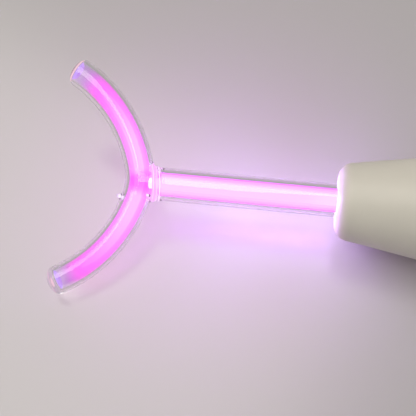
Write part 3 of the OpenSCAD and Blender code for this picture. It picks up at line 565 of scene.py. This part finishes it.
def paintedPipGlint():  # painted glint for light caught in the pip: a short glowing stretch square to the tube
    turn = math.radians(g["pipAngle"])
    t, fullness = bellied(6, g["armBore"] + 0.2, g["armR"] + g["pipLength"] - 0.25, 0.3)
    reach, zero = g["bendR"] - t, 0 * t
    weld = forkToAxis(zero, zero, zero)
    line = (forkToAxis(-reach * math.sin(turn), g["bendR"] - reach * math.cos(turn), zero),
            forkToAxis(zero + math.cos(turn), zero - math.sin(turn), zero) - weld,
            forkToAxis(zero, zero, zero + 1) - weld)
    return line, dischargeLook["pipR"] * fullness, dischargeLook["pip"], dischargeLook["pipGlintAlpha"]


def paintedRimGlintSkin(end, count=64, sides=8):  # a thin glowing ring square to the tube, where the dome begins: a painted glint
    foot = np.sign(end) * (armLength + dischargeLook["rimAhead"] + (g["more"] if end < 0 else 0))
    across, thick = dischargeLook["longRimRound" if end < 0 else "rimRound"]
    middle, side, up = (row[0] for row in forkLine(np.array([foot])))
    ahead = np.cross(side, up)
    turn = 2 * np.pi * np.arange(count)[:, None, None] / count
    wrap = 2 * np.pi * np.arange(sides)[None, :, None] / sides
    radius, rise = across + thick * np.cos(wrap), thick * np.sin(wrap)
    points = middle + radius * (np.cos(turn) * side + np.sin(turn) * up) + rise * ahead
    return outward(points.reshape(-1, 3), [gridFaces(count, sides, True, True)])


def makeDischarge():
    look = dischargeLook
    shares = (*look["shares"], look["coreShare"])
    for number, share in enumerate(shares):
        core = number == len(shares) - 1
        stemColor = np.array(look["stem"][number])
        nearColor, farColor = np.array(look["armNear"][number]), np.array(look["armFar"][number])
        layerAlpha = 1.0 if core else look["alpha"]
        skins, lights = [], []

        def addTube(line, radius, color, alpha):
            skins.append(tubeOn(*line, radius, look["sides"]))
            rows = np.hstack([np.broadcast_to(color, (len(radius), 3)) / look["strength"],
                              np.broadcast_to(alpha, (len(radius), 1))])
            lights.append(np.vstack([np.repeat(rows, look["sides"], axis=0), rows[:1], rows[-1:]]))

        def addSkin(skin, color, alpha):
            skins.append(skin)
            lights.append(np.tile([*np.array(color) / look["strength"], alpha], (len(skin[0]), 1)))

        def addRing(s, radius, thick, color, alpha):
            turn = 2 * np.pi * np.arange(12) / 12
            outline = np.stack([s + thick * np.cos(turn), radius + thick * np.sin(turn)], -1)
            points, faces = revolve(outline, 96)
            points[:, 0] += weldLean(np.arctan2(points[:, 1], points[:, 2]))
            addSkin((points, faces), color, alpha)

        short = look["coreEnd"] if core else 0.7
        t, fullness = bellied(150, short - longBoreEnd, boreEnd - short, look["coreTaper"] if core else 0.8)
        pink = np.where(t < 0, smooth(*look["longFade"], longBoreEnd + t),
                        smooth(*look["fade"], boreEnd - t))[:, None]
        far = smooth(look["nearTo"], look["farFrom"], np.abs(t))[:, None]
        color = np.array(look["haze"]) * (1 - pink) + (nearColor * (1 - far) + farColor * far) * pink
        atWeld = (1 - smooth(look["weldDimFrom"], look["weldDimTo"], np.abs(t)))[:, None]
        color = color * (1 - np.array(look["weldDim"]) * atWeld)
        faded = look["hazeAlpha"] + (look["alpha"] - look["hazeAlpha"]) * pink ** look["fadePower"]
        alpha = 1.0 if core else faded
        addTube(forkLine(t), share * g["armBore"] * fullness, color, alpha)
        stemStart = g["boreStart"] + 0.2 + 0.35 * number
        t, fullness = bellied(60, stemStart, g["neckEnd"] - g["basePlug"] - 1, 1.8)
        atNose = core * smooth(look["noseFrom"], look["noseTo"], t)
        stemColor = stemColor * (1 + look["noseBoost"] * atNose)[:, None]
        addTube(stemLine(t), share * g["stemBore"] * fullness, stemColor, layerAlpha)
        if core or number == 0:
            t, fullness = bellied(12, look["passageStart"], g["boreStart"] + 0.4, 0.6)
            addTube(stemLine(t), share * g["passageR"] * fullness, nearColor, layerAlpha)
        if number == 0:
            # painted glint: a glowing stretch inside the pip's glass
            addTube(*paintedPipGlint())
            # painted glint: a small glowing ball in the glass beside the weld
            s, y, z, radius = look["weldGlintSpot"]
            t, fullness = bellied(2, s - radius, s + radius, radius)
            middle, side, up = stemLine(t)
            addTube((middle + (0, y, z), side, up), radius * fullness, look["pip"], look["weldGlintAlpha"])
            # painted glints: glowing rings in the weld's beads
            for ring in look["weldGlintRings"]:
                addRing(*ring)
            for end in (boreEnd, -longBoreEnd):
                outerFace = end - look["discGap"] * np.sign(end)
                innerFace = end - (look["discGap"] + look["discThick"]) * np.sign(end)
                t, fullness = bellied(4, min(outerFace, innerFace), max(outerFace, innerFace), 0.2)
                radius = look["discShare"] * g["armBore"] * fullness
                addTube(forkLine(t), radius, look["disc"], look["discAlpha"])
                # painted glint: a glowing ring in the glass round each dome
                addSkin(paintedRimGlintSkin(end), look["paintedRimGlint"], look["paintedRimGlintAlpha"])
        name = "discharge_core" if core else f"discharge_layer_{number + 1}"
        piece = addPiece(name, joined(*skins), "glass", "electrode", finish=makeGlow(name, core))
        attribute = piece.data.color_attributes.new("glow", "FLOAT_COLOR", "POINT")
        attribute.data.foreach_set("color", np.concatenate(lights).astype(np.float32).ravel())
        piece.visible_shadow = False


def makeHeart():  # thin discs hidden in the core, which throw the glow's light on the nose and the floor
    look = dischargeLook
    skins = []
    for place in look["heartPlaces"]:
        t, fullness = bellied(2, place - look["heartHalf"], place + look["heartHalf"], 0.05)
        skins.append(tubeOn(*stemLine(t), look["heartR"] * fullness, look["sides"]))
    material, shader = makeDark("discharge_heart", look["heartStrength"])
    shader.inputs["Emission Color"].default_value = (*look["heart"], 1)
    piece = addPiece("discharge_heart", joined(*skins), "glass", "electrode", finish=material)
    piece.visible_shadow = False


makeDischarge()
makeHeart()
print("gas discharge made")


# Housing: nose, barrel and rear cap

housing = {
    "hole": 6.0, "noseFront": 12.15, "noseRear": 20.2, "noseLength": 49.0, "noseRound": 5.0,
    "noseWall": 3.0, "faceThick": 4.0, "bushSeat": 9.6, "bushTube": 11.6, "bushTubeEnd": 36.0,
    "spigot": 18.2, "spigotInner": 15.8, "spigotLength": 6.0,
    "barrelR": 21.0, "barrelBore": 18.4, "barrelEnd": 192.3, "barrelRound": 1.2,
    "grooveStarts": (4.2, 8.4), "grooveWidth": 1.4, "grooveDepth": 0.6,
    "rearFace": 210.3, "rearWall": 3.5, "rearRound": 3.0,
    "bossR": 3.2, "headR": 2.9, "headDepth": 2.5, "rodHole": 1.8, "nutHole": 2.4,
    "knobHole": 3.6, "glandHole": 3.4, "glandDrop": 10.4,
    "indexWidth": 0.8, "indexFrom": 12.5, "indexTo": 14.9, "indexDepth": 0.5,
}
h = housing


def makeNose():
    slope = (h["noseRear"] - h["noseFront"]) / h["noseLength"]
    innerCone = lambda r: (r + h["noseWall"] - h["noseFront"]) / slope
    end = h["noseLength"] + h["spigotLength"]
    corners = [(h["faceThick"], h["hole"], 0.2), (0, h["hole"], 0.5), (0, h["noseFront"], h["noseRound"]),
               (h["noseLength"], h["noseRear"], 0.6), (h["noseLength"], h["spigot"], 0.1),
               (end, h["spigot"], 0.4), (end, h["spigotInner"], 0.3),
               (innerCone(h["spigotInner"]), h["spigotInner"], 0.5),
               (innerCone(h["bushTube"]), h["bushTube"], 0.03), (h["bushTubeEnd"], h["bushTube"], 0.3),
               (h["bushTubeEnd"], h["bushSeat"], 0.3), (h["faceThick"], h["bushSeat"], 0.2)]
    bosses = tubesAt(h["noseLength"] - 8, end - 0.5, h["nutHole"], h["bossR"])
    addPiece("nose", joined(revolve(softOutline(corners, steps=12, share=0.85), 160), bosses),
             "ivory_plastic", "handpiece", "nose_cone")


def makeBarrel():
    start, end = h["noseLength"], h["barrelEnd"]
    outer, low = h["barrelR"], h["barrelR"] - h["grooveDepth"]
    corners = [(start, h["barrelBore"], 0.3), (start, outer, h["barrelRound"])]
    starts = [start + place for place in h["grooveStarts"]]
    starts += [end - place - h["grooveWidth"] for place in reversed(h["grooveStarts"])]
    for place in starts:
        after = place + h["grooveWidth"]
        corners += [(place, outer, 0.2), (place, low, 0.2), (after, low, 0.2), (after, outer, 0.2)]
    corners += [(end, outer, h["barrelRound"]), (end, h["barrelBore"], 0.3)]
    points, faces = revolve(softOutline(corners), 192)
    points[:, 2] = np.maximum(points[:, 2], -axisZ / mm)  # the flat that it rests on
    addPiece("barrel_shell", (points, faces), "ivory_plastic", "handpiece", "barrel")


def rod(s0, s1, r, rise, shift=0.0, count=48):  # a plain round cutter
    return revolve([(s0, 0), (s0, r), (s1, r), (s1, 0)], count, rise, shift)


def boxSkin(low, high):  # a plain box between two corners
    low, high = np.array(low, float), np.array(high, float)
    pick = np.array([[i, j, k] for i in (0, 1) for j in (0, 1) for k in (0, 1)])
    quads = np.array([[0, 1, 3, 2], [4, 6, 7, 5], [0, 4, 5, 1], [2, 3, 7, 6], [0, 2, 6, 4], [1, 5, 7, 3]])
    return outward(low + pick * (high - low), [quads])


def makeRearCap():
    face, wall, front = h["rearFace"], h["rearFace"] - h["rearWall"], h["barrelEnd"] - h["spigotLength"]
    corners = [(wall, 0, 0), (wall, h["spigotInner"], 1.0), (front, h["spigotInner"], 0.3),
               (front, h["spigot"], 0.4), (h["barrelEnd"], h["spigot"], 0.1),
               (h["barrelEnd"], h["noseRear"], 0.6), (face, h["noseRear"], h["rearRound"]), (face, 0, 0)]
    cap = addPiece("rear_cap_shell", revolve(softOutline(corners, False, 8), 160),
                   "ivory_plastic", "handpiece", "rear_cap")
    cuts = [rod(wall - 1, face + 1, h["knobHole"], knobRise),
            rod(wall - 1, face + 1, h["glandHole"], -h["glandDrop"])]
    for a in rodTurns:
        rise, shift = rodPitch * np.cos(a), rodPitch * np.sin(a)
        cuts.append(rod(wall - 1, face + 1, h["rodHole"], rise, shift))
        cuts.append(rod(face - h["headDepth"], face + 1, h["headR"], rise, shift))
    half = h["indexWidth"] / 2
    cuts.append(boxSkin((face - h["indexDepth"], -half, h["indexFrom"]), (face + 1, half, h["indexTo"])))
    cutAway(cap, cuts)
    bosses = tubesAt(front + 0.5, wall - 0.05, h["rodHole"], h["bossR"])
    addPiece("rear_cap_bosses", bosses, "ivory_plastic", "handpiece")


makeNose()
makeBarrel()
makeRearCap()
print("housing made")


# Control knob, its numbers and pointer

knobLook = {
    "start": 211.1, "skirtR": 8.5, "skirtThick": 3.5, "gripR": 6.8, "gripLength": 10.94, "edge": 0.6,
    "flutes": 18, "fluteDepth": 0.85, "neckHole": 3.8, "hub": 4.4, "hubStart": 212.7, "hubEnd": 223.3,
    "numbers": ("0", "2", "4", "6", "8", "10"), "numberSize": 2.3, "sweep": 150.0,
    "ticks": 11, "tickWidth": 0.28, "tickLength": 0.7,
}


def makeKnob():
    k = knobLook
    skirtEnd = k["start"] + k["skirtThick"]
    end = skirtEnd + k["gripLength"]
    tip = k["gripR"] - k["edge"]
    corners = [(end, 0, 0), (end, tip - 1.2, 0.4), (end - 1.2, tip, 0.8),
               (skirtEnd + k["edge"], k["gripR"], 0.3), (skirtEnd, k["gripR"] + k["edge"], 0.3),
               (skirtEnd - 1.0, k["skirtR"], 0.4), (k["start"], k["skirtR"], 0.5),
               (k["start"], k["neckHole"], 0.2), (k["hubStart"], k["neckHole"], 0.1),
               (k["hubStart"], k["hub"], 0.1), (k["hubEnd"], k["hub"], 0.2), (k["hubEnd"], 0, 0)]
    outline = softOutline(corners, False, 4)
    rows = np.linspace(end - 2.0, skirtEnd + 0.9, 24)  # close rows, so that the flutes run out softly
    cut = int(np.argmax(outline[:, 0] < end - 1.6))
    grip = np.stack([rows, np.interp(rows, [skirtEnd + k["edge"], end - 1.2], [k["gripR"], tip])], -1)
    keep = outline[:, 0] < skirtEnd + 0.85
    keep[:cut] = False
    keep[int(np.argmax(keep)):] = True
    outline = np.concatenate([outline[:cut], grip, outline[keep]])

    def fluted(s, turn, r):  # scallops round the grip, running out towards the skirt and the top
        run = smooth(skirtEnd + 0.9, skirtEnd + 2.4, s) * (r > k["hub"] + 0.3)
        wave = np.maximum(np.cos(k["flutes"] * turn), 0) ** 1.5
        return r - k["fluteDepth"] * run * wave * smooth(4.7, 5.6, r)

    addPiece("knob_grip", revolve(outline, k["flutes"] * 14, knobRise, shape=fluted),
             "black_phenolic", "knob", "control_knob")


def wrapped(points, turn, s, radius):  # flat lettering (x right, y up) laid round the skirt
    angle = turn + points[:, 0] / radius
    lift = radius + points[:, 2]
    return np.stack([s - points[:, 1], lift * np.sin(angle), knobRise + lift * np.cos(angle)], -1)


def numeralSkin(text, size):
    curve = bpy.data.curves.new("numeral", "FONT")
    curve.body = text
    curve.size = size
    curve.align_x = "CENTER"
    curve.align_y = "CENTER"
    curve.extrude = 0.04
    curve.resolution_u = 4
    holder = bpy.data.objects.new("numeral", curve)
    bpy.context.scene.collection.objects.link(holder)
    bpy.context.view_layer.update()
    mesh = bpy.data.meshes.new_from_object(holder.evaluated_get(bpy.context.evaluated_depsgraph_get()))
    points = np.zeros(3 * len(mesh.vertices), np.float32)
    mesh.vertices.foreach_get("co", points)
    mesh.calc_loop_triangles()
    faces = np.zeros(3 * len(mesh.loop_triangles), np.int32)
    mesh.loop_triangles.foreach_get("vertices", faces)
    bpy.data.objects.remove(holder)
    bpy.data.meshes.remove(mesh)
    return points.reshape(-1, 3).astype(float), [faces.reshape(-1, 3).astype(int)]


def makeDial():
    k = knobLook
    skins = []
    middle = k["start"] + 1.55
    turns = np.radians(np.linspace(-k["sweep"], k["sweep"], len(k["numbers"])))
    for text, turn in zip(k["numbers"], turns):
        points, faces = numeralSkin(text, k["numberSize"])
        skins.append((wrapped(points, turn, middle, k["skirtR"]), faces))
    for turn in np.radians(np.linspace(-k["sweep"], k["sweep"], k["ticks"])):
        half = k["tickWidth"] / 2
        points, faces = boxSkin((-half, 0.95, -0.04), (half, 0.95 + k["tickLength"] * 0.5, 0.04))
        skins.append((wrapped(points, turn, middle, k["skirtR"]), faces))
    end = k["start"] + k["skirtThick"] + k["gripLength"]
    pointer, faces = boxSkin((-0.05, -0.35, 1.0), (0.04, 0.35, 4.7))
    skins.append((pointer + (end, 0, knobRise), faces))
    dial = addPiece("knob_dial", joined(*skins), "ivory_plastic", "knob", finish=finishes["dial_paint"])
    dial.data.polygons.foreach_set("use_smooth", np.zeros(len(dial.data.polygons), bool))


makeKnob()
makeDial()
print("knob made")


# Cord gland and metal cap

glandLook = {"bore": 2.6, "body": 3.3, "lip": 4.0, "lipLength": 2.2}
capLook = {"start": 16.0, "end": 38.0, "r": 5.6, "wall": 0.45, "base": 1.2, "crimp": 19.5, "crimpDepth": 0.14}


def makeGland():
    k = glandLook
    wall, face, drop = h["rearFace"] - h["rearWall"], h["rearFace"], -h["glandDrop"]
    tail = face + k["lipLength"]
    corners = [(wall - k["lipLength"], k["bore"], 0.3), (wall - k["lipLength"], k["lip"], 0.4),
               (wall, k["lip"], 0.2), (wall, k["body"], 0.1), (face, k["body"], 0.1), (face, k["lip"], 0.3),
               (face + 0.8, k["lip"] - 0.05, 0.4), (tail, k["body"], 0.35), (tail, k["bore"], 0.3)]
    addPiece("gland", revolve(softOutline(corners, steps=5), 72, drop),
             "black_rubber", "handpiece", "cord_gland")


def makeMetalCap():
    k = capLook
    inner = k["r"] - k["wall"]
    corners = [(k["end"], 0, 0), (k["end"], k["r"], 0.9), (k["crimp"] + 0.9, k["r"], 0.6),
               (k["crimp"], k["r"] - k["crimpDepth"], 0.6), (k["crimp"] - 0.9, k["r"], 0.6),
               (k["start"], k["r"], 0.15), (k["start"], inner, 0.1), (k["end"] - k["base"], inner, 0.4),
               (k["end"] - k["base"], 0, 0)]
    addPiece("metal_cap", revolve(softOutline(corners, False, 5), 96), "nickel", "electrode", "electrode_cap")


makeGland()
makeMetalCap()


# Wound and soft pieces inside: windings, spring and felt pad

coilLook = {
    "secondary": {"node": "secondary_winding", "inner": 6.1, "outer": 7.9, "pitch": 0.5},
    "primary": {"node": "primary_winding", "inner": 9.2, "outer": 10.9, "pitch": 1.2},
    "magnet": {"node": "magnet_winding", "inner": 5.2, "outer": 8.2, "pitch": 0.8},
}
springLook = {"s0": 41.05, "s1": 52.45, "coilR": 3.0, "wireR": 0.45, "turns": 6}
padLook = {"margin": 0.05, "crown": 0.06, "count": 25}


def makeWinding(name, look, rise):
    # radius dips between turns, and the turns climb one pitch for each time round
    low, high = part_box(look["node"])
    s0, s1 = (low.x - noseX) / mm, (high.x - noseX) / mm
    rows = np.linspace(s0 + 0.02, s1 - 0.02, int((s1 - s0) / look["pitch"] * 6))
    wound = np.stack([rows, np.full(len(rows), look["outer"])], -1)
    outline = np.concatenate([[[s0 + 0.02, look["inner"]]], wound, [[s1 - 0.02, look["inner"]]]])
    depth = look["pitch"] * 0.22

    def turned(s, turn, r):
        ridge = np.abs(np.cos(np.pi * s / look["pitch"] - turn / 2))
        return np.where(r > look["inner"] + 0.01, r - depth * (1 - ridge), r)

    addPiece(f"{name}_coil", revolve(outline, 64, rise, shape=turned),
             "copper_wire", "handpiece", look["node"])


def makeSpring():
    k = springLook
    t = np.linspace(0, 1, k["turns"] * 28)
    turn = 2 * np.pi * k["turns"] * t
    side = np.stack([0 * t, np.sin(turn), np.cos(turn)], -1)
    path = np.stack([k["s0"] + (k["s1"] - k["s0"]) * t, 0 * t, 0 * t], -1) + k["coilR"] * side
    ahead = np.gradient(path, axis=0)
    up = np.cross(side, ahead / np.linalg.norm(ahead, axis=-1, keepdims=True))
    addPiece("contact_coil", tubeOn(path, side, up, np.full(len(t), k["wireR"]), 12),
             "spring_steel", "handpiece", "contact_spring")


def makePad():  # a slightly crowned felt block: a cube's grid pushed onto a rounded box
    low, high = (np.array(c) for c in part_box("condenser_pad"))
    middle, half = (low + high) / 2, (high - low) / 2 - padLook["margin"] * mm
    count = padLook["count"]
    u = np.linspace(-1, 1, count)
    a, b = np.meshgrid(u, u, indexing="ij")
    crown = 1 - padLook["crown"] * (a ** 2 + b ** 2) / 2 - 0.25 * np.maximum(np.abs(a), np.abs(b)) ** 12
    top = np.stack([half[0] * crown, half[1] * a, half[2] * b], -1).reshape(-1, 3)
    bottom = top * (-1, 1, 1)
    spots = np.arange(count ** 2).reshape(count, count)
    ring = np.concatenate([spots[0], spots[1:, -1], spots[-1, -2::-1], spots[-2:0:-1, 0]])  # round the edge
    after = np.roll(ring, -1)
    quads = gridFaces(count, count, False, False)
    skirt = np.stack([ring, after, after + count ** 2, ring + count ** 2], -1)
    faces = [quads, quads[:, ::-1] + count ** 2, skirt[:, ::-1]]
    points = (np.concatenate([top, bottom]) + middle - (noseX, 0, axisZ)) / mm
    pad = addPiece("felt_pad", outward(points, faces), "felt", "handpiece", "condenser_pad")


for coilName, coil in coilLook.items():
    makeWinding(coilName, coil, knobRise if coilName == "magnet" else 0.0)
makeSpring()
makePad()
print("windings, spring and pad made")


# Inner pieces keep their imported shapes

for part in frame["record"]["subparts"]:
    node = frame["nodes"][part["node"]]
    if node.hide_render:
        continue
    node.data.materials.clear()
    node.data.materials.append(finishes[part["material_slot"]])
print("packed pieces finished")


# Floor, lights and camera

studio = {
    "floor": (0.50, 0.475, 0.45), "floorRough": 0.24, "floorGloss": 0.8, "floorSize": 20.0,
    "world": (0.92, 0.95, 1.0), "worldStrength": 0.38,
    "keyPlace": (-0.45, 0.12, 1.0), "keyPower": 7.0, "keySize": 0.9, "keyColor": (1.0, 0.96, 0.9),
    "cameraPlace": (-14.264, -120.0, 282.41), "cameraAim": (-41.544, -6.94, 0.0), "cameraRoll": -7.097,
    "focalPixels": 928.44, "picturePixels": 416,
}


def makeStudio():
    half = studio["floorSize"] / 2
    mesh = bpy.data.meshes.new("floor")
    corners = [(-half, -half, 0), (half, -half, 0), (half, half, 0), (-half, half, 0)]
    mesh.from_pydata(corners, [], [(0, 1, 2, 3)])
    floor = bpy.data.objects.new("floor", mesh)
    floor.location.z = -0.0001
    bpy.context.scene.collection.objects.link(floor)
    material = bpy.data.materials.new("floor")
    material.use_nodes = True
    shader = material.node_tree.nodes["Principled BSDF"]
    shader.inputs["Base Color"].default_value = (*studio["floor"], 1)
    shader.inputs["Roughness"].default_value = studio["floorRough"]
    shader.inputs["Specular IOR Level"].default_value = studio["floorGloss"]
    mesh.materials.append(material)
    world = bpy.data.worlds.new("studio")
    world.use_nodes = True
    world.node_tree.nodes["Background"].inputs["Color"].default_value = (*studio["world"], 1)
    world.node_tree.nodes["Background"].inputs["Strength"].default_value = studio["worldStrength"]
    bpy.context.scene.world = world
    lamp = bpy.data.lights.new("key", "AREA")
    lamp.energy, lamp.size, lamp.color = studio["keyPower"], studio["keySize"], studio["keyColor"]
    key = bpy.data.objects.new("key", lamp)
    key.location = studio["keyPlace"]
    key.rotation_euler = (-Vector(studio["keyPlace"])).to_track_quat("-Z", "Y").to_euler()
    bpy.context.scene.collection.objects.link(key)


def makeCamera():
    place, aim = Vector(toRow(studio["cameraPlace"])), Vector(toRow(studio["cameraAim"]))
    ahead = (aim - place).normalized()
    right = ahead.cross(Vector((0, 0, 1))).normalized()
    up = right.cross(ahead)
    turn = math.radians(studio["cameraRoll"])
    sideways = math.cos(turn) * right + math.sin(turn) * up
    upright = math.cos(turn) * up - math.sin(turn) * right
    data = bpy.data.cameras.new("camera")
    data.sensor_width = 36.0
    data.lens = studio["focalPixels"] / studio["picturePixels"] * data.sensor_width
    camera = bpy.data.objects.new("camera", data)
    bpy.context.scene.collection.objects.link(camera)
    turned = Matrix((sideways, upright, -ahead)).transposed().to_4x4()
    camera.matrix_world = Matrix.Translation(place) @ turned
    bpy.context.scene.camera = camera


makeStudio()
makeCamera()
bpy.context.scene.view_settings.view_transform = "Standard"
print("studio ready")
